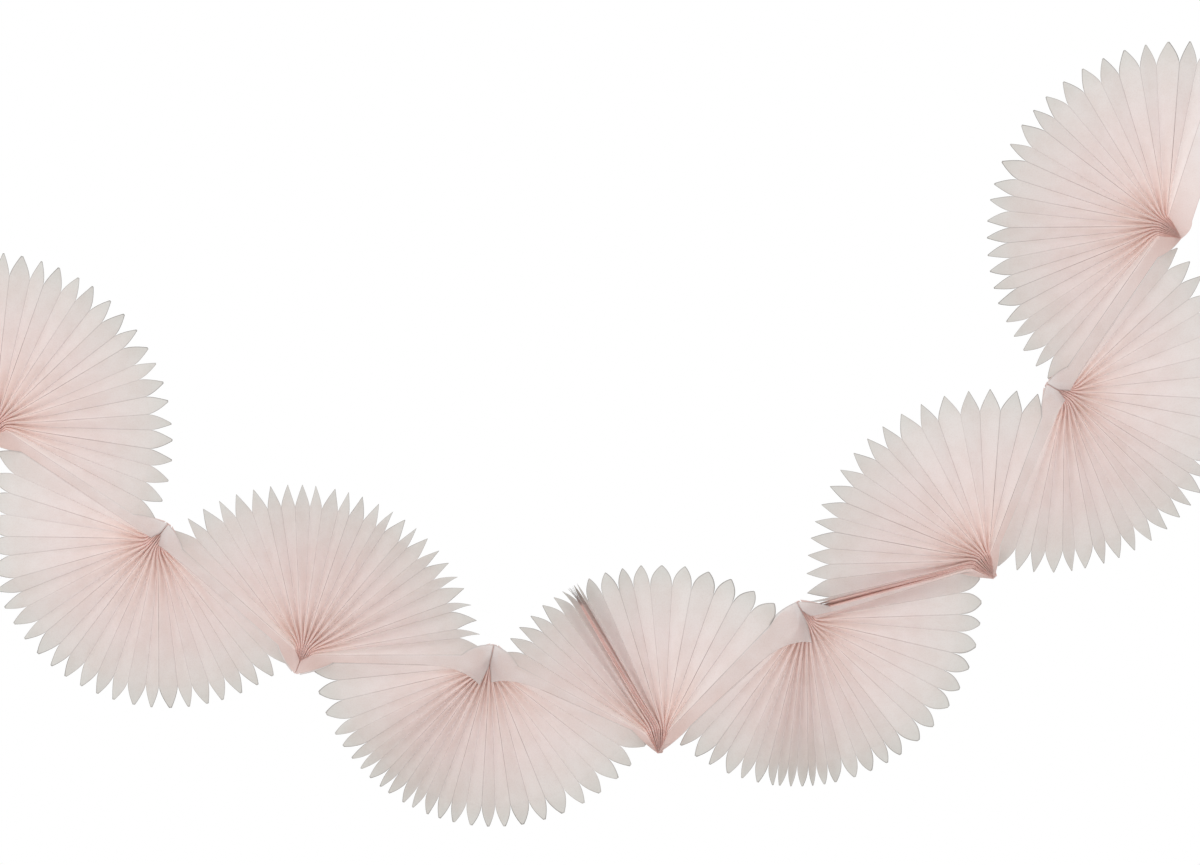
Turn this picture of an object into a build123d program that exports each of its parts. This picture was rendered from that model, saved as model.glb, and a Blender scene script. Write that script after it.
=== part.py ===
"""A paper fan garland: nine pleated fans of thin paper that open upwards and downwards by turns.

Each fan is one sheet, pleated into long panels that are cut to a point at both ends. At one end the
points are pinched and glued together in a hub, and from there the pleats spread. The last panel of a
sheet is glued over the first panel of the next one, so each glued panel runs from hub to hub and the
hubs are links of a chain that hangs in a swag.

X runs along the garland, Y runs back through the pleats and Z is up. The front folds lie at Y = 0. The
origin is the point of the left end panel, where the garland is hung.
"""

import math
import os

from build123d import *

# Driving dimensions, in millimetres
panel_length = 150.0  # one panel from point to point, and about the distance from hub to hub
panel_width = 18.0  # one panel from fold to fold
point_height = 16.5  # cut point at each end of a panel
shoulder_height = 9.0  # where the curved sides of a point turn in
shoulder_width = 11.5  # width of a point at that height
paper_thickness = 0.1
glue_film = 0.05  # between two panels that are glued face to face
lap_setback = 1.0  # the free edge of a glued panel stops this far short of the other sheet's fold
pinch_reach = 19.0  # from the tip of a hub to the folds that are pinched behind it
pinch_spread = 12.0  # width of the pinched stack of folds
tip_spread = 4.0  # width of the glued stack of points at the tip of a hub
twist_reach = 45.0  # from the tip of a hub to where the pleats have done most of their twisting
ridge_gap = 0.6  # between the points of two front panels that meet in a ridge over a hub
ridge_rise = 1.5  # how far those points stay in front of the stack's tip

# Layout: bearings in degrees, from +X towards +Z
left_end_bearing = 130.0  # from the first hub along the left end panel
link_bearings = (-24.2, -49.7, 8.3, -33.3, 48.0, 6.9, 75.3, 47.2)  # from each hub to the next
link_slips = (2.0, -2.6, 0.8, -1.0, 3.4, 0.3, 0.5, 0.6)  # distance from hub to hub beyond a panel's length
right_end_bearing = 77.0  # from the last hub along the right end panel
seam_angle = 1.5  # between a glued panel's line and the first fold beside it

# How far each fan is stretched: the length that its panels lose to their bends near the hub
fold_slacks = (8.0, 11.5, 8.0, 13.0, 8.0, 11.0, 8.0, 8.0, 3.0)

# How wide the pleats of each fan open: runs of so many pleats at so many degrees each
opening_angles = (
    ((26, 5.7),),
    ((6, 7.0), (20, 5.3)),
    ((6, 5.1), (8, 4.5), *((1, 3.4), (1, 5.2)) * 6),
    ((3, 6.7), (2, 5.0), (8, 3.9), (5, 5.0), (8, 6.3)),
    ((6, 4.7), (10, 0.6), (4, 5.4), (6, 7.2)),
    ((4, 5.0), (2, 4.3), (6, 3.1), (5, 5.0), (9, 6.4)),
    ((8, 0.6), (6, 5.0), (5, 5.4), (7, 6.5)),
    ((15, 4.8), (7, 7.2), (4, 5.6)),
    ((12, 4.7), (6, 5.4), (8, 6.0)),
)
swell_share = 0.1  # how much wider or narrower than its run a pleat opens
swell_step = 2.4  # radians of that swell from one pleat to the next
widest_share = 0.97  # gap between the folds of the widest pleat, as a share of a panel's width

# Worked out from the driving dimensions
mid_depth = Vector(0, panel_width / 2, 0)
pleats = sum(count for count, _ in opening_angles[0])  # even, so both outer folds of a fan face the front
fan_count = len(link_bearings) + 1
back_step = Vector(0, paper_thickness, 0)
lap_step = Vector(0, paper_thickness + glue_film, 0)


def at(center, distance, bearing):
    """The point at a distance and bearing from a centre, in the plane of the garland."""
    angle = math.radians(bearing)
    return center + Vector(distance * math.cos(angle), 0, distance * math.sin(angle))


def towards(start, end, distance):
    """The point at a distance from start on the way to end."""
    return start + (end - start).normalized() * distance


def between(start, end, share):
    """The point at a share of the way from start to end."""
    return start + (end - start) * share


class Fan:
    """Where the hub and the folds of one fan lie, all at the middle of the pleats' depth."""

    def __init__(self, number, hub, first_bearing, last_bearing):
        """Up fans, with odd numbers, turn clockwise from their first panel, and down fans the other way."""
        turn = -1 if number % 2 else 1
        sweep = turn * ((last_bearing - first_bearing) * turn % 360)
        middle = first_bearing + sweep / 2
        rim_radius = panel_length - point_height - fold_slacks[number - 1]
        twist_share = (twist_reach - pinch_reach) / (rim_radius - pinch_reach)
        self.hub = hub
        self.turn = turn
        self.first_bearing = first_bearing
        self.last_bearing = last_bearing
        self.layer = lap_step * (number % 2 == 0)
        # bearings of the folds at the rim, with uneven steps between them
        opened = sweep - 2 * turn * seam_angle
        steps = self.openings(number, rim_radius * math.radians(abs(opened)) / pleats)
        bearings = [first_bearing + turn * seam_angle]
        for step in steps:
            bearings.append(bearings[-1] + opened * step / sum(steps))
        # each fold runs straight from the pinched stack to the rim
        pinch_angle = turn * math.degrees(pinch_spread / pinch_reach)
        places = [i / pleats - 0.5 for i in range(pleats + 1)]
        self.pinched = [at(hub, pinch_reach, middle + pinch_angle * place) for place in places]
        self.rim = [at(hub, rim_radius, bearing) for bearing in bearings]
        self.twisted = [between(start, end, twist_share) for start, end in zip(self.pinched, self.rim)]
        # the ways out of the fan, square to its first and last panels
        self.first_outward = at(Vector(0, 0, 0), 1, first_bearing - turn * 90)
        self.last_outward = at(Vector(0, 0, 0), 1, last_bearing + turn * 90)
        # the sheet's own glued points lie at the two sides of the stack's tip
        self.forward = at(Vector(0, 0, 0), 1, middle)
        self.ridge_end = hub + self.forward * pinch_reach
        self.across = at(Vector(0, 0, 0), 1, middle + turn * 90)
        end_offset = self.across * (tip_spread / 2 + lap_setback)
        self.first_tip = hub - end_offset
        self.last_tip = hub + end_offset

    @staticmethod
    def openings(number, mean_gap):
        """How wide each pleat opens beside the mean: as its run does, with a swell from pleat to pleat.

        The openings even out as far as the panels' width asks for.
        """
        angles = [angle for count, angle in opening_angles[number - 1] for _ in range(count)]
        mean = sum(angles) / pleats
        swells = [1 + swell_share * math.sin(swell_step * pleat + number) for pleat in range(pleats)]
        ratios = [angle / mean * swell for angle, swell in zip(angles, swells)]
        room = math.log(widest_share * panel_width / mean_gap) / math.log(max(ratios))
        return [ratio ** min(1, room) for ratio in ratios]

    def pleat_tip(self, pleat):
        """Place of one pleat's point in the glued stack."""
        return self.hub + self.across * (tip_spread * ((pleat + 0.5) / pleats - 0.5))


def crease(line, index):
    """The front and back of the sheet along one fold, at one distance from the hub.

    Folds lie at the front and at the back by turns. The pleats are as deep as the panel's width allows
    for the gap between the folds, and a fold's own depth in the stack keeps the paper's thickness.
    """
    gaps = [(line[i + 1] - line[i]).length for i in (index - 1, index)]
    gap = math.sqrt(sum(g * g for g in gaps) / 2)
    mitre = paper_thickness * panel_width / (gap + paper_thickness)
    face = line[index] - mid_depth
    if index % 2 == 1:
        face += Vector(0, math.sqrt(panel_width**2 - gap**2) - mitre, 0)
    return face, face + Vector(0, mitre, 0)


def corner(line, index, outward):
    """The front and back of the sheet along the fold between a pleat and a glued panel."""
    face = line[index] - mid_depth
    return face, face + back_step + outward * paper_thickness


def pleat_point(near, far, tip, edge_on):
    """The shoulders and tip of a pleat's cut point, each as a front and a back, between two folds.

    The points in a hub's stack stand edge on to the front, and those at the rim lie in their panel's plane.
    """
    start = (near[0] + near[1]) / 2
    end = (far[0] + far[1]) / 2
    base = (start + end) / 2
    width = Vector(0, end.Y - start.Y, 0) if edge_on else end - start
    half_width = width.normalized() * (shoulder_width / 2)
    shoulder = between(base, tip, shoulder_height / point_height)
    normal = (end - start).cross(tip - base).normalized()
    half = normal * math.copysign(paper_thickness / 2, normal.Y)
    return [(spot - half, spot + half) for spot in (shoulder - half_width, tip, shoulder + half_width)]


def glued_point(pinched, loose, tip, setback):
    """The inner shoulder, tip and outer shoulder of a glued panel's point, each as a front and a back.

    The inner side runs straight towards the hub's tip, and the outer side is as round as on the other
    points. Up to its shoulders the point lies flat at the front, and from there it bends back to the tip.
    """
    share = shoulder_height / point_height
    base = (pinched + loose) / 2
    above_tip = Vector(tip.X, base.Y, tip.Z)
    inner = towards(between(pinched, above_tip, share), between(loose, above_tip, share), setback)
    outer = between(base, above_tip, share) + (loose - pinched).normalized() * (shoulder_width / 2)
    return [(spot, spot + back_step) for spot in (inner, tip, outer)]


def ridge_point(pinched, loose, other, side):
    """A front panel's point over another sheet's hub, with its inner side along the ridge."""
    off_ridge = other.across * (side * ridge_gap / 2)
    tip = other.hub + off_ridge - Vector(0, ridge_rise, 0)
    _, over_hub, outer = glued_point(pinched, loose, tip, 0)
    foot = other.hub + off_ridge + other.forward * shoulder_height - mid_depth
    return [(foot, foot + back_step), over_hub, outer]


def glued_panel(hub_fold, rim_fold, near_fold, far_fold, tips):
    """A glued panel of one sheet: its free edge and the points at its two ends.

    hub_fold and rim_fold are the ends of the sheet's own fold, pinched at the hub and loose at the rim.
    near_fold and far_fold are the ends of the other sheet's fold, loose here and pinched at its hub.
    """
    near = towards(near_fold, hub_fold, lap_setback)
    far = towards(far_fold, rim_fold, lap_setback)
    edge = [(spot, spot + back_step) for spot in (near, (near + far) / 2, far)]
    hub_point = glued_point(hub_fold, near_fold, tips[0], 0)
    rim_point = glued_point(far_fold, rim_fold, tips[1], lap_setback)
    return edge, hub_point, rim_point


def end_panel(hub_fold, rim_fold, bearing, outward, tip):
    """The plain panel at an end of the garland, in the same form as a glued panel but not set back."""
    near = hub_fold + outward * (panel_width + lap_setback)
    far = rim_fold + outward * (panel_width + lap_setback)
    far_tip = at(rim_fold + outward * (panel_width / 2), point_height, bearing)
    return glued_panel(hub_fold, rim_fold, near, far, (tip, far_tip))


def side_panel(fan, other, first):
    """The glued or plain panel at the first or last side of a fan."""
    index = 0 if first else pleats
    hub_fold = fan.pinched[index] - mid_depth
    rim_fold = fan.rim[index] - mid_depth
    tip = fan.first_tip if first else fan.last_tip
    if other is None:
        bearing = fan.first_bearing if first else fan.last_bearing
        outward = fan.first_outward if first else fan.last_outward
        return end_panel(hub_fold, rim_fold, bearing, outward, tip)
    other_index = pleats if first else 0
    other_tip = other.last_tip if first else other.first_tip
    near_fold = other.rim[other_index] - mid_depth
    in_front = fan.layer.Y < other.layer.Y
    far_fold = (other.ridge_end if in_front else other.pinched[other_index]) - mid_depth
    edge, hub_point, rim_point = glued_panel(hub_fold, rim_fold, near_fold, far_fold, (tip, other_tip))
    if in_front:
        rim_point = ridge_point(far_fold, rim_fold, other, 1 if first else -1)
    return edge, hub_point, rim_point


def fold_sheet(fan, before, after):
    """All folds and cut points of one sheet, from its first free edge to its last."""
    lines = (fan.pinched, fan.twisted, fan.rim)
    first_edge, first_hub, first_rim = side_panel(fan, before, True)
    last_edge, last_hub, last_rim = side_panel(fan, after, False)
    folds = [first_edge, [corner(line, 0, fan.first_outward) for line in lines]]
    for index in range(1, pleats):
        folds.append([crease(line, index) for line in lines])
    folds.append([corner(line, pleats, fan.last_outward) for line in lines])
    folds.append(last_edge)
    # the first side's points run from the free edge inwards, the last side's outwards
    hub_points = [first_hub[::-1]]
    rim_points = [first_rim]
    for pleat in range(pleats):
        near, far = folds[pleat + 1], folds[pleat + 2]
        hub_points.append(pleat_point(near[0], far[0], fan.pleat_tip(pleat), True))
        rim_middle = (near[2][0] + near[2][1] + far[2][0] + far[2][1]) / 4
        twist_middle = (near[1][0] + near[1][1] + far[1][0] + far[1][1]) / 4
        rim_tip = towards(rim_middle, rim_middle * 2 - twist_middle, point_height)
        rim_points.append(pleat_point(near[2], far[2], rim_tip, False))
    hub_points.append(last_hub)
    rim_points.append(last_rim[::-1])
    return folds, hub_points, rim_points


def face_triangles(folds, hub_points, rim_points, side):
    """Flat facets of one face of the folded sheet: each panel's two stretches and its two points."""
    for panel, (near, far) in enumerate(zip(folds, folds[1:])):
        for station in (0, 1):
            yield near[station][side], far[station][side], far[station + 1][side]
            yield near[station][side], far[station + 1][side], near[station + 1][side]
        left, tip, right = (spot[side] for spot in hub_points[panel])
        yield near[0][side], right, far[0][side]
        yield near[0][side], left, right
        yield left, tip, right
        left, tip, right = (spot[side] for spot in rim_points[panel])
        yield near[2][side], far[2][side], right
        yield near[2][side], right, left
        yield left, right, tip


def edge_triangles(folds, hub_points, rim_points):
    """Flat facets of the cut edge that runs round the sheet, from its front to its back."""
    loop = []
    for near, points in zip(folds, hub_points):
        loop += [near[0], *points]
    loop += folds[-1]
    for near, points in zip(folds[-2::-1], rim_points[::-1]):
        loop += [*points[::-1], near[2]]
    loop.append(folds[0][1])
    for (front_a, back_a), (front_b, back_b) in zip(loop, loop[1:] + loop[:1]):
        yield front_a, back_b, front_b
        yield front_a, back_a, back_b


def paper(fan, folds, hub_points, rim_points):
    """The closed solid of a folded sheet, set back to the sheet's own layer in the glued panels."""
    facets = [*face_triangles(folds, hub_points, rim_points, 0)]
    facets += [facet[::-1] for facet in face_triangles(folds, hub_points, rim_points, 1)]
    facets += edge_triangles(folds, hub_points, rim_points)
    if fan.turn > 0:
        facets = [facet[::-1] for facet in facets]
    faces = [Face(Wire.make_polygon([spot + fan.layer for spot in facet])) for facet in facets]
    return Solid(Shell(faces))


# The chain of hubs and the fans on it, set so that the left end panel's point is the origin
first_bearings = [left_end_bearing] + [bearing + 180 for bearing in link_bearings]
last_bearings = [*link_bearings, right_end_bearing]
unplaced_fan = Fan(1, mid_depth, first_bearings[0], last_bearings[0])
left_end_point = side_panel(unplaced_fan, None, True)[2]
hub = mid_depth - left_end_point[1][0]
fans = []
for number, slip in enumerate([*link_slips, 0], 1):
    fans.append(Fan(number, hub, first_bearings[number - 1], last_bearings[number - 1]))
    hub = at(hub, panel_length + slip, last_bearings[number - 1])

# Each fan is its own folded sheet
os.makedirs("parts", exist_ok=True)
for number, (before, fan, after) in enumerate(zip([None] + fans, fans, fans[1:] + [None]), 1):
    sheet = paper(fan, *fold_sheet(fan, before, after))
    with BuildPart() as folded_fan:
        add(sheet)
    folded_fan.part.label = f"fan_{number}"
    export_step(folded_fan.part, f"parts/fan_{number}.step")
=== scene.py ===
"""The looks of the paper fan garland: nine pleated sheets of thin blush paper, hung in a swag.

Each sheet is worked out again from the same sizes and bearings as the solids, with its folds curved as
they spread from the pinched stack, its panels twisted smoothly and its points cut round.
"""

import bpy
import numpy as np
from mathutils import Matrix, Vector


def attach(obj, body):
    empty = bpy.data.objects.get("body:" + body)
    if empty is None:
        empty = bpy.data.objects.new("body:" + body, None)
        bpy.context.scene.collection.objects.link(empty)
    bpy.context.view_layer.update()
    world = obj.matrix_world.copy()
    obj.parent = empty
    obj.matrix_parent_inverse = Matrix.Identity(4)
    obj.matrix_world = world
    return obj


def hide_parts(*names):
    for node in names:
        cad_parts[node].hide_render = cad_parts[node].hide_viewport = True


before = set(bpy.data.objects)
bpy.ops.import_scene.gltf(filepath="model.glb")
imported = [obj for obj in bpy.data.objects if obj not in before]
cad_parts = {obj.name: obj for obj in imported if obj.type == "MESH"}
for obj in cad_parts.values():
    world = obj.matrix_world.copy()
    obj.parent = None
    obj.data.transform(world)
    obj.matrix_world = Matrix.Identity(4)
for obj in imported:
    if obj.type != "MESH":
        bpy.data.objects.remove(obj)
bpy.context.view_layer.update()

# Sizes of a folded sheet in metres, as in the part's source
PANEL_LENGTH = 0.150
PANEL_WIDTH = 0.018
POINT_HEIGHT = 0.0165
SHOULDER_HEIGHT = 0.009
PAPER_THICKNESS = 0.0001
GLUE_FILM = 0.00005
LAP_SETBACK = 0.001
PINCH_REACH = 0.019
TIP_SPREAD = 0.004
WIDEST_SHARE = 0.97
RIDGE_GAP = 0.0006
PLEATS = 26
PANELS = PLEATS + 2
LAP_STEP = PAPER_THICKNESS + GLUE_FILM
MID_DEPTH = np.array([0, PANEL_WIDTH / 2, 0])
SHOULDER_SHARE = 1 - SHOULDER_HEIGHT / PINCH_REACH  # of the way along a point, where it turns in

# Layout of the chain, as in the part's source: bearings in degrees from +X towards +Z, lengths in metres
LEFT_END_BEARING = 130.0
LINK_BEARINGS = (-24.2, -49.7, 8.3, -33.3, 48.0, 6.9, 75.3, 47.2)
LINK_SLIPS = (0.0020, -0.0026, 0.0008, -0.0010, 0.0034, 0.0003, 0.0005, 0.0006, 0)
RIGHT_END_BEARING = 77.0
FIRST_BEARINGS = (LEFT_END_BEARING, *(bearing + 180 for bearing in LINK_BEARINGS))
LAST_BEARINGS = (*LINK_BEARINGS, RIGHT_END_BEARING)
FOLD_SLACKS = (0.0080, 0.0115, 0.0080, 0.0130, 0.0080, 0.0110, 0.0080, 0.0080, 0.0030)

# How wide the pleats of each fan open: runs of so many pleats at so many degrees. They are those of the part's
# source, but for the closed groups of fans 5 and 7, which are tighter here
PLEAT_RUNS = (
    ((26, 5.7),),
    ((6, 7.0), (20, 5.3)),
    ((6, 5.1), (8, 4.5), *((1, 3.4), (1, 5.2)) * 6),
    ((3, 6.7), (2, 5.0), (8, 3.9), (5, 5.0), (8, 6.3)),
    ((6, 4.7), (1, 1.8), (7, 0.14), (2, 1.1), (4, 5.4), (6, 7.2)),
    ((4, 5.0), (2, 4.3), (6, 3.1), (5, 5.0), (9, 6.4)),
    ((3, 0.12), (1, 1.0), (3, 0.12), (1, 1.3), (6, 5.0), (5, 5.4), (7, 6.5)),
    ((15, 4.8), (7, 7.2), (4, 5.6)),
    ((12, 4.7), (6, 5.4), (8, 6.0)),
)
SWELL_SHARE = 0.1
SWELL_STEP = 2.4

# How the paper bends, in metres where it is a length
PINCH_SPREADS = (0.019, 0.020, 0.014, 0.013, 0.019, 0.015, 0.020, 0.018, 0.018)  # width of each fan's pinched stack
# Degrees from each line between two hubs to the folds beside it
SEAM_ANGLES = (1.5, -1.8, -1.8, -1.8, -1.5, 1.5, -3.0, -1.2, -1.2, 1.5)
STACK_STEPS = (0.4, 1.6)  # least and most that a fold in the stack lies from the next, beside their mean
FOUNTAIN = 0.8  # how far the folds leave the stack along its middle before they spread
FOUNTAIN_REACH = 0.006  # over which that bend dies away
BULGE = 0.0006  # how far a panel bows out between its folds
BULGE_GAP = 0.003  # in pleats tighter than this it bows less
ROUND_GAP = 0.0018  # pleats tighter than this have round front folds, not sharp ones
# How round the cut points of each fan are, from its first side to its last: 1 is a straight-sided point
ROUNDNESS = (
    (1.5, 1.5),
    (1.6, 1.5),
    (1.2, 1.2),
    (2.0, 1.8),
    (1.5, 2.8),
    (1.7, 3.0),
    (1.3, 1.3),
    (1.4, 1.4),
    (1.5, 1.5),
)
GLUED_ROUNDNESS = 1.8
BLUNTNESS = (0.10, 0.14, 0.03, 0.16, 0.06, 0.14, 0.03, 0.06, 0.08)  # share of its width that a point keeps at its tip
TIP_LOSS = 0.98  # share of its width that a glued or stacked point has lost at its tip
CURL = 0.0012  # how far, by chance, a point at the rim bends out of its panel
# How far a fan's points lean over clockwise as well, at its first and last side
LEANS = {3: (0, 0.004), 5: (-0.005, 0.006), 6: (0, 0.003)}
# How far the flaps that a sheet in front lays over the hubs before and after it reach, from the hub's tip
FLAP_REACHES = {1: (0, 0.016), 3: (0.017, 0.032), 5: (0.028, 0.032), 7: (0.014, 0.018), 9: (0.018, 0)}
FLAP_SPREAD = 0.004
FLAP_POWER = 8  # of the way along a glued panel, with which its flap widens
RIDGE_SHARE = 0.55  # of its flap that each ridge is long, before the two flaps part
TUCK_START, TUCK_RUN, TUCK_POWER = 0.55, 0.45, 1.5  # where along its rise a flat point bends back, and how
STACK_LAPS = (0.0015, 0.0045)  # how far the first and last point of a sheet in front lie over its own stack
STACK_RISE = np.array([0, 0.001, 0])  # how far in front of the stack's middle they stay
COVERED_HUB = 3  # the one hub that its own two glued points cover

# How clearly the folds and their crowding show, both painted shade in the paper's colour
LINES = (0.9, 0.8, 0.8, 0.8, 0.9, 0.8, 1.0, 0.8, 1.0)  # how clear the folds of each fan are
CLEARNESS = (0.35, 1)  # least and most of that which a single fold has
STACK_CLEARNESS = 0.4  # of a fold's, in the stack
LINE_GAP = 0.003  # in pleats tighter than this the lines along the folds fade
FAINTEST = 0.25  # what is left of them in closed pleats
LINE_CORE, LINE_REACH = 0.0001, 0.0006  # how far from a fold its line is at its darkest, and where it ends
RIM_LINE = 0.55  # distances from a cut point's edge count for so much, so its line is wider than a fold's
# pleats tighter than this get a deeper pink that is painted shade, for the light bouncing between their layers
CROWD_GAP = 0.0012  # pleats tighter than this look deeper in colour
PALEST = 0.85  # of the reach, beyond which glued panels get no paler
FIBRE_SIZE = 0.0011  # of the flecks that fibres make
COCKLE_SIZE = 0.0165  # of the waves in the sheet
COCKLE_HEIGHT = 0.0008
TRANSLUCENCY = 0.6  # share of the paper that passes light on, and the rest sends it back
SHARP_ANGLE = 40  # degrees, from which a fold is a sharp edge

# The grid of a sheet
ROWS = 48  # along a fold
ROW_POWER = 1.4  # which sets the rows closer together near the hub
TIP_ROWS = 12
FRONT_SHARES = np.array([0, 0.012, 0.04, 0.11, 0.3, 0.55, 0.8, 1])  # of a panel's width, from its front fold
COLUMNS = len(FRONT_SHARES) - 1

random = np.random.default_rng(26)


def heading(bearing):
    """Unit vectors in the garland's plane at bearings in degrees: the cosine along X, the sine along Z."""
    angle = np.radians(np.asarray(bearing, float))
    return np.stack([np.cos(angle), np.zeros_like(angle), np.sin(angle)], axis=-1)


def unit(vectors):
    """The vectors at length one."""
    return vectors / np.linalg.norm(vectors, axis=-1, keepdims=True)


def stepped(widths):
    """Shares of the way across, from 0 to 1, after each of the widths."""
    share = np.concatenate([[0], np.cumsum(widths)])
    return share / share[-1]


class Fan:
    """Where the folds of one fan lie in the plane of the front folds, at its pinched stack and at its rim."""

    def __init__(self, number, hub):
        """Odd fans open upwards and turn clockwise from their first panel, even fans the other way."""
        first, last = FIRST_BEARINGS[number - 1], LAST_BEARINGS[number - 1]
        turn = -1 if number % 2 else 1
        sweep = turn * ((last - first) * turn % 360)
        middle = first + sweep / 2
        self.number, self.hub, self.turn = number, hub, turn
        # the stack is pinched unevenly, and each pleat opens as its run does, with a slow sine
        self.place = stepped(random.uniform(*STACK_STEPS, PLEATS)) - 0.5
        widths = np.concatenate([np.full(count, width) for count, width in PLEAT_RUNS[number - 1]])
        widths = widths * (1 + SWELL_SHARE * np.sin(SWELL_STEP * np.arange(PLEATS) + number))
        first_seam, last_seam = SEAM_ANGLES[number - 1 : number + 1]
        opened = sweep - turn * (first_seam + last_seam)
        rim_radius = PANEL_LENGTH - POINT_HEIGHT - FOLD_SLACKS[number - 1]
        # no pleat opens wider than its panels reach
        ratios = widths / widths.mean()
        mean_gap = rim_radius * np.radians(abs(opened)) / PLEATS
        room = np.log(WIDEST_SHARE * PANEL_WIDTH / mean_gap) / np.log(ratios.max())
        share = stepped(ratios ** min(1, room))
        pinch_bearing = middle + turn * np.degrees(PINCH_SPREADS[number - 1] / PINCH_REACH) * self.place
        rim_bearing = first + turn * first_seam + opened * share
        self.pinched = hub + PINCH_REACH * heading(pinch_bearing)
        self.rim = hub + rim_radius * heading(rim_bearing)
        self.clockwise = heading(rim_bearing - 90)
        self.forward = heading(middle)
        self.across = heading(middle + turn * 90)
        self.outward = (heading(first - turn * 90), heading(last + turn * 90))
        self.bearings = (first, last)
        self.in_front = number % 2 == 1
        self.layer = np.array([0, 0 if self.in_front else LAP_STEP, 0])


def place_fans():
    """The fans along the chain of hubs, set so that the point of the left end panel is the origin."""
    fan = Fan(1, np.zeros(3))
    along, outward = heading(fan.bearings[0]), fan.outward[0]
    hub = -(fan.rim[0] + outward * (PANEL_WIDTH / 2) + along * POINT_HEIGHT)
    fans = []
    for number, (bearing, slip) in enumerate(zip(LAST_BEARINGS, LINK_SLIPS), 1):
        fans.append(Fan(number, hub))
        hub = hub + (PANEL_LENGTH + slip) * heading(bearing)
    return fans


def fold_lines(fan, along):
    """The folds of a fan as curves, one row each.

    In the plane each runs straight from the stack to the rim, moved towards the fan's middle by the way d
    along it times exp(-d / reach). Every other fold lies at the back, as deep as the root of the panel's
    width squared less the gap between the folds squared.
    """
    run = fan.rim - fan.pinched
    way = along[None, :, None] * np.linalg.norm(run, axis=1)[:, None, None]
    bend = FOUNTAIN * (1 - np.abs(2 * fan.place) ** 4)[:, None]
    sideways = bend * (fan.forward - unit(run) * (unit(run) @ fan.forward)[:, None])
    lines = fan.pinched[:, None] + run[:, None] * along[None, :, None]
    lines = lines + sideways[:, None] * way * np.exp(-way / FOUNTAIN_REACH)
    gap = np.linalg.norm(np.diff(lines, axis=0), axis=-1)
    gap = np.sqrt((gap[:-1] ** 2 + gap[1:] ** 2) / 2)
    depth = np.sqrt(np.maximum(PANEL_WIDTH**2 - gap**2, 1e-8))
    lines[1:-1:2, :, 1] += depth[::2]
    return lines


def free_edge(fan, other, first, along):
    """The free edge of a glued panel: a straight line beside the other sheet's outer fold, set back from it.

    At the other hub a panel in front widens to a flap, with the eighth power of the way along. At an end of
    the garland the edge lies a panel's width from the sheet's own outer fold.
    """
    flap = 0
    index = 0 if first else -1
    hub_fold, rim_fold = fan.pinched[index], fan.rim[index]
    if other is None:
        outward = fan.outward[index] * PANEL_WIDTH
        near, far = hub_fold + outward, rim_fold + outward
    else:
        near_fold = other.rim[-1 - index]
        far_fold = other.pinched[-1 - index]
        near = near_fold + unit(hub_fold - near_fold) * LAP_SETBACK
        far = far_fold + unit(rim_fold - far_fold) * LAP_SETBACK
        if fan.in_front:
            side = 1 if first else -1
            reach = FLAP_REACHES[fan.number][index]
            flap = other.hub + other.forward * reach + other.across * (side * FLAP_SPREAD) - far
    return near + (far - near) * along[:, None] + flap * along[:, None] ** FLAP_POWER


def panel_shares():
    """Shares of the way across every panel at which the grid has its columns, closer together at the front fold."""
    shares = np.tile(FRONT_SHARES, (PANELS, 1))
    shares[2:-1:2] = 1 - FRONT_SHARES[::-1]
    return shares


def cross_shares(gap):
    """Shares of the way from fold to fold, sideways, for gaps by panel and row.

    From the front fold a panel runs straight back, u, in wide pleats, and round, 1 - exp(-u width / gap), in
    tight ones; the blend between the two is a bell of the gap.
    """
    from_front = panel_shares()
    from_front[2:-1:2] = 1 - from_front[2:-1:2]
    u = from_front[:, :, None]
    tight = np.exp(-((gap / ROUND_GAP) ** 2))[:, None, :]
    tight[[0, -1]] = 0
    round_share = 1 - np.exp(-u * PANEL_WIDTH / (gap[:, None, :] + 1e-6))
    sideways = u + (round_share - u) * tight
    sideways[2:-1:2] = 1 - sideways[2:-1:2]
    return sideways


def panel_grid(ribs):
    """The sheet between its ribs.

    It runs from fold to fold by the shares, bowed out by a parabola along the panel's normal.
    """
    left, right = ribs[:-1, None], ribs[1:, None]
    shares = panel_shares()[:, :, None, None] * np.ones((1, 1, ROWS, 3))
    gap = np.linalg.norm((right - left)[:, 0, :, ::2], axis=-1)
    shares[..., ::2] = cross_shares(gap)[..., None]
    flat = left + (right - left) * shares
    normal = unit(np.cross(right - left, np.gradient(flat, axis=2)))
    normal *= -np.sign(normal[..., 1:2])
    share = shares[..., 1:2]
    bow = BULGE * 4 * share * (1 - share) * np.clip(gap / BULGE_GAP, 0, 1)[:, None, :, None]
    bow[[0, -1]] = 0
    grid = (flat + normal * bow)[:, :-1].reshape(PANELS * COLUMNS, ROWS, 3)
    return np.concatenate([grid, ribs[-1:]])


def end_shares(left, right):
    """Shares of the way from fold to fold, sideways, for the gaps between the folds at one end of the pleats."""
    gap = np.zeros((PANELS, 1))
    gap[1:-1, 0] = np.linalg.norm((right - left)[:, ::2], axis=-1)
    return cross_shares(gap)[1:-1, None, :, :]


def stack_points(left, right, fan, roundness, rise):
    """Cut points in the stack.

    Their sides run straight to a row of tips, and their depth shrinks as 1 - loss rise^roundness.
    """
    steps = fan.hub + fan.across * (TIP_SPREAD * (np.arange(PLEATS + 1) / PLEATS - 0.5))[:, None]
    r = rise[None, :, None, None]
    starts, ends = left[:, None, None, :], right[:, None, None, :]
    starts = starts + (steps[:-1, None, None, :] - starts) * r
    ends = ends + (steps[1:, None, None, :] - ends) * r
    points = starts + (ends - starts) * end_shares(left, right)
    depth = left[:, None, None, 1] + (right - left)[:, None, None, 1] * panel_shares()[1:-1, None, :]
    shrink = 1 - TIP_LOSS * r[..., 0] ** roundness[:, None, None]
    points[..., 1] = MID_DEPTH[1] + (depth - MID_DEPTH[1]) * shrink
    return points


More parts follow.
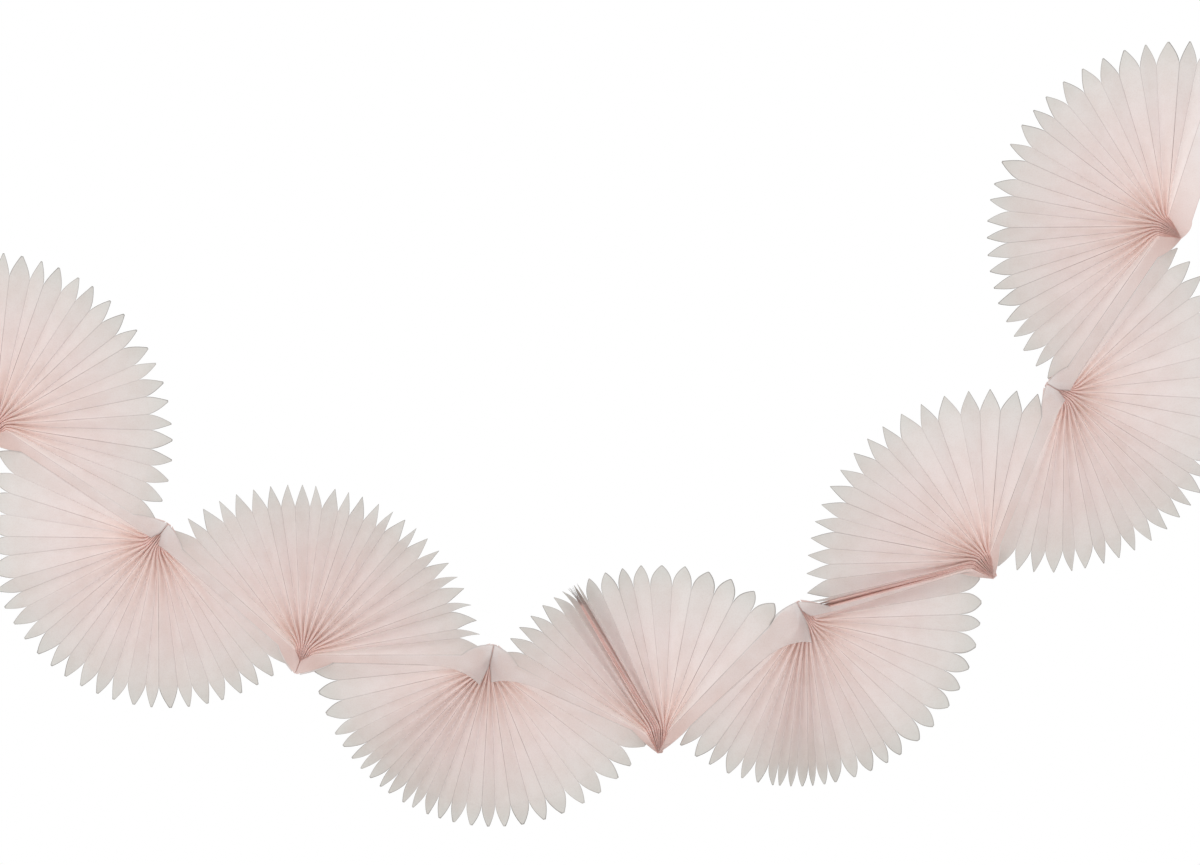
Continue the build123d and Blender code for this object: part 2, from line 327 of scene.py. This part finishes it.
def round_points(left, right, tips, bends, roundness, bluntness, rise):
    """Cut points beyond the ends of the pleats.

    The middle runs to the tip and bends aside with the square of the rise, and the width shrinks as
    1 - (1 - bluntness) rise^roundness.
    """
    middle = ((left + right) / 2)[:, None, None, :]
    width = (right - left)[:, None, None, :]
    shares = panel_shares()[1:-1, None, :, None] * np.ones((1, 1, 1, 3))
    shares[..., ::2] = end_shares(left, right)
    r = rise[None, :, None, None]
    axis = middle + (tips[:, None, None, :] - middle) * r + bends[:, None, None, :] * r**2
    return axis + width * (shares - 0.5) * (1 - (1 - bluntness) * r ** roundness[:, None, None, None])


def flat_points(outer, inner, foot, tip, shares, rise):
    """The flat point of a glued or end panel, from its outer edge to its inner one.

    The outer side is as round as on the other points, the inner side runs straight to a foot and on to the
    tip, and the point bends back towards the tip once it is past its shoulders.
    """
    r = rise[:, None]
    level = np.array([tip[0], outer[1], tip[2]])
    middle = (outer + inner) / 2
    outer_side = middle + (level - middle) * r + (outer - middle) * (1 - TIP_LOSS * r**GLUED_ROUNDNESS)
    to_foot = inner + (foot - inner) * r / SHOULDER_SHARE
    to_tip = level + (foot - level) * (1 - r) / (1 - SHOULDER_SHARE)
    inner_side = np.where(r < SHOULDER_SHARE, to_foot, to_tip)
    point = outer_side[:, None] + (inner_side - outer_side)[:, None] * shares[None, :, None]
    past = np.clip((rise - TUCK_START) / TUCK_RUN, 0, 1)
    point[..., 1] += ((tip[1] - outer[1]) * past**TUCK_POWER)[:, None]
    return point


def glued_points(outer, inner, tip, shares, rise):
    """A flat point whose inner side runs straight to the tip."""
    foot = inner + (np.array([tip[0], inner[1], tip[2]]) - inner) * SHOULDER_SHARE
    return flat_points(outer, inner, foot, tip, shares, rise)


def ridge_points(outer, inner, over, side, reach, shares, rise):
    """A flat point that reaches to the ridge over a hub, on one side of it."""
    off_ridge = over.across * (side * RIDGE_GAP / 2)
    tip = over.hub + off_ridge
    foot = over.hub + off_ridge + over.forward * (RIDGE_SHARE * reach)
    return flat_points(outer, inner, foot, tip, shares, rise)


def side_points(fan, other, edge, fold, side, rise):
    """The points of a glued or end panel at the rim and at the hub, from the free edge to the sheet's own fold."""
    index = 0 if side < 0 else -1
    shares = FRONT_SHARES if side < 0 else 1 - FRONT_SHARES[::-1]
    back_shares = 1 - shares[::-1]
    offset = side * (TIP_SPREAD / 2 + LAP_SETBACK)
    if fan.number == COVERED_HUB:
        hub_point = ridge_points(edge[0], fold[0], fan, side, PINCH_REACH, shares, rise)
    else:
        tip = fan.hub + MID_DEPTH + fan.across * offset
        if fan.in_front:
            tip = tip - fan.across * (side * STACK_LAPS[index]) - STACK_RISE
        hub_point = glued_points(edge[0], fold[0], tip, shares, rise)
    if other is None:
        middle = (edge[-1] + fold[-1]) / 2
        tip = middle + heading(fan.bearings[index]) * POINT_HEIGHT
        r = rise[:, None, None]
        width = (fold[-1] - edge[-1]) * (shares[None, :, None] - 0.5)
        rim_point = middle + (tip - middle) * r + width * (1 - TIP_LOSS * r**GLUED_ROUNDNESS)
    elif fan.in_front:
        reach = FLAP_REACHES[fan.number][index]
        rim_point = ridge_points(fold[-1], edge[-1], other, -side, reach, back_shares, rise)[:, ::-1]
    else:
        tip = other.hub + MID_DEPTH - other.across * offset
        if other.number != COVERED_HUB:
            tip = tip + other.across * (side * STACK_LAPS[-1 - index]) - STACK_RISE
        rim_point = glued_points(fold[-1], edge[-1], tip, back_shares, rise)[:, ::-1]
    return rim_point, hub_point


def rim_bends(fan, width, length):
    """How far the points at the rim bend out of their panels, along the panel's normal.

    That is by chance, and with the lean, which runs from its value at each side to none at the middle.
    """
    normal = unit(np.cross(width, length))
    first_lean, last_lean = LEANS.get(fan.number, (0, 0))
    lean = np.interp(np.linspace(0, 1, PLEATS), (0, 0.5, 1), (first_lean, 0, last_lean))
    clockwise = (fan.clockwise[:-1] + fan.clockwise[1:]) / 2
    along_lean = np.sum(normal * clockwise, axis=1) * lean
    return normal * (along_lean + random.normal(0, CURL, PLEATS))[:, None]


def sheet_points(fan, before, after, along, rise):
    """The ribs of one folded sheet, and its points: between the ribs, at the rim and at the hub, in that order."""
    folds = fold_lines(fan, along)
    first_edge = free_edge(fan, before, True, along)
    last_edge = free_edge(fan, after, False, along)
    ribs = np.concatenate([first_edge[None], folds, last_edge[None]])
    body = panel_grid(ribs)
    # the pleats' points, at the rim and in the stack
    middle = (folds[:-1, -1] + folds[1:, -1]) / 2
    length = unit(middle - (folds[:-1, -3] + folds[1:, -3]) / 2) * POINT_HEIGHT
    bends = rim_bends(fan, folds[1:, -1] - folds[:-1, -1], length)
    roundness = np.linspace(*ROUNDNESS[fan.number - 1], PLEATS)
    bluntness = BLUNTNESS[fan.number - 1]
    rim_points = np.zeros((PANELS, TIP_ROWS, COLUMNS + 1, 3))
    hub_points = np.zeros_like(rim_points)
    rim_sides, tips = (folds[:-1, -1], folds[1:, -1]), middle + length
    rim_points[1:-1] = round_points(*rim_sides, tips, bends, roundness, bluntness, rise)
    hub_points[1:-1] = stack_points(folds[:-1, 0], folds[1:, 0], fan, roundness, rise)
    # the glued panels' points, from left to right as the grid has them
    rim_points[0], hub_points[0] = side_points(fan, before, first_edge, folds[0], -1, rise)
    rim_last, hub_last = side_points(fan, after, last_edge, folds[-1], 1, rise)
    rim_points[-1], hub_points[-1] = rim_last[:, ::-1], hub_last[:, ::-1]
    points = np.concatenate([part.reshape(-1, 3) for part in (body, rim_points, hub_points)])
    return ribs, points + fan.layer


def sheet_faces(turn):
    """The faces of a sheet: the grid between its ribs, then the cut points at the rim and at the hub, joined to it."""
    grid = np.arange((PANELS * COLUMNS + 1) * ROWS).reshape(-1, ROWS)
    ends = np.arange(PANELS * TIP_ROWS * (COLUMNS + 1)).reshape(PANELS, TIP_ROWS, COLUMNS + 1)
    base = np.arange(PANELS)[:, None] * COLUMNS + np.arange(COLUMNS + 1)
    rim_grid = np.concatenate([grid[base, -1][:, None], grid.size + ends], axis=1)
    hub_grid = np.concatenate([grid[base, 0][:, None], grid.size + ends.size + ends], axis=1)[:, :, ::-1]
    quads = [np.stack([grid[:-1, :-1], grid[1:, :-1], grid[1:, 1:], grid[:-1, 1:]], -1).reshape(-1, 4)]
    for tip in (rim_grid, hub_grid):
        corners = (tip[:, :-1, :-1], tip[:, :-1, 1:], tip[:, 1:, 1:], tip[:, 1:, :-1])
        quads.append(np.stack(corners, -1).reshape(-1, 4))
    faces = np.concatenate(quads)
    return faces[:, ::-1] if turn > 0 else faces


def by_column(values):
    """Values by panel, or by panel and row, for each column of the grid between the ribs."""
    return np.concatenate([np.repeat(values, COLUMNS, axis=0), values[-1:]])


def sheet_readings(fan, ribs, along, rise):
    """What the paper reads at each point of a sheet.

    That is the reach from the hub as a share of the panel, the distance from a fold or a cut edge, how clear
    the line there is, how crowded the pleats are, as a bell of the gap between folds, and whether the panel
    is one of the two flat ones.
    """
    end_size = TIP_ROWS * (COLUMNS + 1)
    is_flat = np.isin(np.arange(PANELS), (0, PANELS - 1))
    flat_columns = np.r_[0:COLUMNS, COLUMNS * (PANELS - 1) + 1 : COLUMNS * PANELS + 1]
    # the distance from a fold, which shrinks with the width of a point
    shares = panel_shares()
    from_fold = np.minimum(shares, 1 - shares) * PANEL_WIDTH
    from_edge = from_fold[:, None, :] * (1 - TIP_LOSS * rise**GLUED_ROUNDNESS)[None, :, None]
    body_fold = np.append(from_fold[:, :-1].ravel(), 0)
    edge = np.concatenate([np.repeat(body_fold, ROWS), RIM_LINE * from_edge.ravel(), from_edge.ravel()])
    # the reach from the hub
    start, end = PINCH_REACH / PANEL_LENGTH, 1 - POINT_HEIGHT / PANEL_LENGTH
    body_reach = np.tile(start + (end - start) * along, (PANELS * COLUMNS + 1, 1))
    body_reach[flat_columns] = np.minimum(body_reach[flat_columns], PALEST)
    rim_reach = np.tile(np.repeat(end + (1 - end) * rise, COLUMNS + 1), (PANELS, 1))
    rim_reach[is_flat] = PALEST
    hub_reach = np.tile(np.repeat(start * (1 - rise), COLUMNS + 1), PANELS)
    reach = np.concatenate([body_reach.ravel(), rim_reach.ravel(), hub_reach])
    # how crowded the pleats are, and which panels are flat
    gap = np.linalg.norm(np.diff(ribs, axis=0)[..., ::2], axis=-1)
    tight = np.exp(-((gap / CROWD_GAP) ** 2))
    tight[is_flat] = 0
    rim_tight = np.repeat(tight[:, -1:] * (1 - rise), COLUMNS + 1, axis=1)
    crowd = np.concatenate([by_column(tight).ravel(), rim_tight.ravel(), np.repeat(tight[:, 0], end_size)])
    body_flat = np.zeros((PANELS * COLUMNS + 1, ROWS))
    body_flat[flat_columns] = 1
    flat = np.concatenate([body_flat.ravel(), *[np.repeat(is_flat, end_size)] * 2])
    # how clear the lines are
    clear = LINES[fan.number - 1] * random.uniform(*CLEARNESS, PANELS + 1)
    clear = np.where(shares < 0.5, clear[:-1, None], clear[1:, None])
    end_clear = np.repeat(clear[:, None, :], TIP_ROWS, axis=1).ravel()
    open_share = by_column(np.clip(gap / LINE_GAP, FAINTEST, 1))
    body_clear = np.append(clear[:, :-1].ravel(), clear[-1, -1])[:, None] * open_share
    line = np.concatenate([body_clear.ravel(), end_clear, end_clear * STACK_CLEARNESS])
    return {"reach": reach, "edge": edge, "line": line, "crowd": crowd, "flat": flat}


def linear(hex_colour):
    """Linear RGBA of an sRGB hex colour."""
    srgb = np.array([int(hex_colour[i : i + 2], 16) for i in (1, 3, 5)]) / 255
    rgb = np.where(srgb <= 0.04045, srgb / 12.92, ((srgb + 0.055) / 1.055) ** 2.4)
    return (*rgb.tolist(), 1.0)


def add_node(tree, kind, settings=(), values=(), links=()):
    """A node of that kind, with its settings, socket values and links into it."""
    node = tree.nodes.new(kind)
    for name, value in dict(settings).items():
        setattr(node, name, value)
    sockets = {socket.identifier: socket for socket in node.inputs}
    for name, value in dict(values).items():
        sockets[name].default_value = value
    for name, output in dict(links).items():
        tree.links.new(output, sockets[name])
    return node


def add_ramp(tree, factor, stops):
    """A colour ramp node with those stops of position and hex colour."""
    ramp = add_node(tree, "ShaderNodeValToRGB", links={"Fac": factor})
    elements = ramp.color_ramp.elements
    while len(elements) < len(stops):
        elements.new(0.5)
    for element, (position, colour) in zip(elements, stops):
        element.position = position
        element.color = linear(colour)
    return ramp.outputs["Color"]


def add_mix(tree, links, values=(), blend="MIX"):
    """The colour out of a mix node with those links and values."""
    return add_node(tree, "ShaderNodeMix", {"data_type": "RGBA", "blend_type": blend}, values, links).outputs[2]


def add_noise(tree, place, size):
    """Noise of that size in metres, at the places on the object."""
    noise = add_node(tree, "ShaderNodeTexNoise", values={"Scale": 1 / size, "Detail": 3}, links={"Vector": place})
    return noise.outputs["Fac"]


def blush_tissue():
    """Thin calendered tissue, pale blush: matt, lets light through. Its colour is pinker and paler towards the hub
    and where the folds crowd, and greyer towards the points, which is painted light and shade.

    To the eye it is a soft white with rose lines of painted shade at the folds, a grey line of painted shade along
    the cut points, faint fibres and a slight cockle.
    """
    material = bpy.data.materials.new("blush tissue paper")
    material.use_nodes = True
    tree = material.node_tree
    tree.nodes.clear()
    names = ("reach", "edge", "line", "crowd", "flat")
    reach, edge, clear, crowd, flat = (
        add_node(tree, "ShaderNodeAttribute", {"attribute_name": name}).outputs["Fac"] for name in names
    )
    place = add_node(tree, "ShaderNodeTexCoord").outputs["Object"]
    fibre, cockle = add_noise(tree, place, FIBRE_SIZE), add_noise(tree, place, COCKLE_SIZE)
    # painted light and shade in the colour: towards the hub it is pinker and paler, for the light that passes through
    # and bounces between the crowded folds there, towards the points it is greyer, painted shade, and where pleats
    # crowd it is a deeper pink, painted shade too; the flat glued panels, which face the front, have their own steps
    # of it, darker and pinker than the pleats near the hub and paler towards the points
    pleat_stops = (
        (0.06, "#FFF3EF"),
        (0.2, "#FFF6F3"),
        (0.4, "#F9F1EF"),
        (0.65, "#F1E8E6"),
        (0.88, "#E7E1DE"),
        (0.97, "#DDDBD7"),
    )
    flat_stops = ((0.05, "#EEDBD6"), (0.3, "#F1E5E2"), (0.5, "#F0E8E6"), (0.85, "#F0EDEC"))
    # painted light and shade by reach, for the pleats and for the flat glued panels
    pleat_painted_light_and_shade, flat_painted_light_and_shade = add_ramp(tree, reach, pleat_stops), add_ramp(tree, reach, flat_stops)
    colour = add_mix(tree, {"Factor_Float": flat, "A_Color": pleat_painted_light_and_shade, "B_Color": flat_painted_light_and_shade})
    # painted shade: a deeper pink where the pleats crowd, for the light that bounces between their layers
    colour = add_mix(tree, {"Factor_Float": crowd, "A_Color": colour}, {"B_Color": linear("#FEECE8")})
    # cockles and fibres darken it a little
    cockle_stops = ((0.35, "#FCFAF9"), (0.6, "#FFFFFF"))
    fibre_stops = ((0.3, "#FBF9F8"), (0.55, "#FFFFFF"))
    for noise, stops in ((cockle, cockle_stops), (fibre, fibre_stops)):
        links = {"A_Color": colour, "B_Color": add_ramp(tree, noise, stops)}
        colour = add_mix(tree, links, {"Factor_Float": 1.0}, "MULTIPLY")
    # painted shade: the folds show as thin darker lines, clearest between the stack and the middle, and the cut points
    # have one along their edge at the rim
    fade_stops = (
        (0.08, "#B0B0B0"),
        (0.2, "#F0F0F0"),
        (0.45, "#F0F0F0"),
        (0.7, "#B0B0B0"),
        (0.88, "#B0B0B0"),
        (0.92, "#FFFFFF"),
    )
    fade = add_ramp(tree, reach, fade_stops)
    strength = add_node(tree, "ShaderNodeMath", {"operation": "MULTIPLY"}, links={"Value": clear, "Value_001": fade})
    line = add_node(
        tree,
        "ShaderNodeMapRange",
        {"interpolation_type": "SMOOTHSTEP"},
        {"From Min": LINE_CORE, "From Max": LINE_REACH, "To Max": 0.0},
        {"Value": edge, "To Min": strength.outputs[0]},
    ).outputs["Result"]
    line_shade_colour = add_ramp(tree, reach, ((0.4, "#84625B"), (0.9, "#8C8884")))
    colour = add_mix(tree, {"Factor_Float": line, "A_Color": colour, "B_Color": line_shade_colour})
    # it is matt, duller between the fibres, and its cockles catch the light
    dull = add_node(tree, "ShaderNodeMapRange", values={"To Min": 0.6, "To Max": 0.85}, links={"Value": fibre})
    bump = {"Strength": 0.25, "Distance": COCKLE_HEIGHT}
    relief = add_node(tree, "ShaderNodeBump", values=bump, links={"Height": cockle}).outputs["Normal"]
    paper = add_node(
        tree,
        "ShaderNodeBsdfPrincipled",
        values={"Specular IOR Level": 0.25},
        links={"Base Color": colour, "Roughness": dull.outputs["Result"], "Normal": relief},
    )
    through = add_node(tree, "ShaderNodeBsdfTranslucent", links={"Color": colour, "Normal": relief})
    shaders = {"Shader": paper.outputs[0], "Shader_001": through.outputs[0]}
    mix = add_node(tree, "ShaderNodeMixShader", values={"Fac": TRANSLUCENCY}, links=shaders)
    add_node(tree, "ShaderNodeOutputMaterial", links={"Surface": mix.outputs[0]})
    return material


def make_sheet(fan, before, after, paper):
    """One folded sheet as a piece of the scene, in place of its solid."""
    along = np.linspace(0, 1, ROWS) ** ROW_POWER
    rise = np.linspace(0, 1, TIP_ROWS + 1)[1:]
    ribs, points = sheet_points(fan, before, after, along, rise)
    faces = sheet_faces(fan.turn)
    readings = sheet_readings(fan, ribs, along, rise)
    mesh = bpy.data.meshes.new(f"pleated_sheet_{fan.number}")
    mesh.from_pydata(points.tolist(), [], faces.tolist())
    for name, values in readings.items():
        mesh.attributes.new(name, "FLOAT", "POINT").data.foreach_set("value", values.astype(np.float32))
    mesh.polygons.foreach_set("use_smooth", np.ones(len(faces), bool))
    mesh.set_sharp_from_angle(angle=np.radians(SHARP_ANGLE))
    mesh.materials.append(paper)
    piece = bpy.data.objects.new(f"pleated_sheet_{fan.number}", mesh)
    bpy.context.scene.collection.objects.link(piece)
    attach(piece, "root")
    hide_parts(f"fan_{fan.number}")


def lay_floor(scene):
    """A pale floor below the garland."""
    left, right, front, back, height = -0.6, 1.7, -1.2, 0.6, -0.75
    corners = [(left, front, height), (right, front, height), (right, back, height), (left, back, height)]
    mesh = bpy.data.meshes.new("studio_floor")
    mesh.from_pydata(corners, [], [(0, 1, 2, 3)])
    floor = bpy.data.objects.new("studio_floor", mesh)
    scene.collection.objects.link(floor)
    paint = bpy.data.materials.new("white studio floor")
    paint.use_nodes = True
    paint.node_tree.nodes["Principled BSDF"].inputs["Base Color"].default_value = linear("#F2F2F0")
    mesh.materials.append(paint)


def light(scene):
    """Even white light all round, a little weaker than it looks, and a large soft lamp at the upper left."""
    world = bpy.data.worlds.new("white surround")
    scene.world = world
    world.use_nodes = True
    tree = world.node_tree
    tree.nodes.clear()
    path = add_node(tree, "ShaderNodeLightPath")
    seen = path.outputs["Is Camera Ray"]
    for kind in ("Is Glossy Ray", "Is Transmission Ray"):
        links = {"Value": seen, "Value_001": path.outputs[kind]}
        seen = add_node(tree, "ShaderNodeMath", {"operation": "MAXIMUM"}, links=links).outputs[0]
    strength = add_node(tree, "ShaderNodeMapRange", values={"To Min": 0.85, "To Max": 1.0}, links={"Value": seen})
    links = {"Strength": strength.outputs["Result"]}
    surround = add_node(tree, "ShaderNodeBackground", values={"Color": (1, 1, 1, 1)}, links=links)
    add_node(tree, "ShaderNodeOutputWorld", links={"Surface": surround.outputs[0]})
    lamp = bpy.data.lights.new("soft window", "AREA")
    lamp.shape = "RECTANGLE"
    lamp.size, lamp.size_y = 1.6, 1.2
    lamp.energy = 14
    lamp_object = bpy.data.objects.new("soft window", lamp)
    lamp_object.location = (-0.5, -1.8, 1.1)
    scene.collection.objects.link(lamp_object)
    aim = np.array([0.52, 0.0, -0.1]) - np.array(lamp_object.location)
    lamp_object.rotation_euler = Vector(aim).to_track_quat("-Z", "Y").to_euler()


def set_camera(scene):
    """A camera that looks straight along +Y from far off."""
    distance, frame_width = 4.0, 0.900
    middle_x, middle_z = 0.5583, -0.09875
    camera = bpy.data.cameras.new("camera")
    camera.sensor_fit = "HORIZONTAL"
    camera.sensor_width = 36
    camera.lens = camera.sensor_width * distance / frame_width
    camera.clip_end = 50
    camera_object = bpy.data.objects.new("camera", camera)
    camera_object.location = (middle_x, -distance, middle_z)
    camera_object.rotation_euler = (np.pi / 2, 0, 0)
    scene.collection.objects.link(camera_object)
    scene.camera = camera_object


fans = place_fans()
tissue = blush_tissue()
for fan, before, after in zip(fans, [None, *fans[:-1]], [*fans[1:], None]):
    make_sheet(fan, before, after, tissue)
scene = bpy.context.scene
scene.view_settings.view_transform = "Standard"
lay_floor(scene)
light(scene)
set_camera(scene)
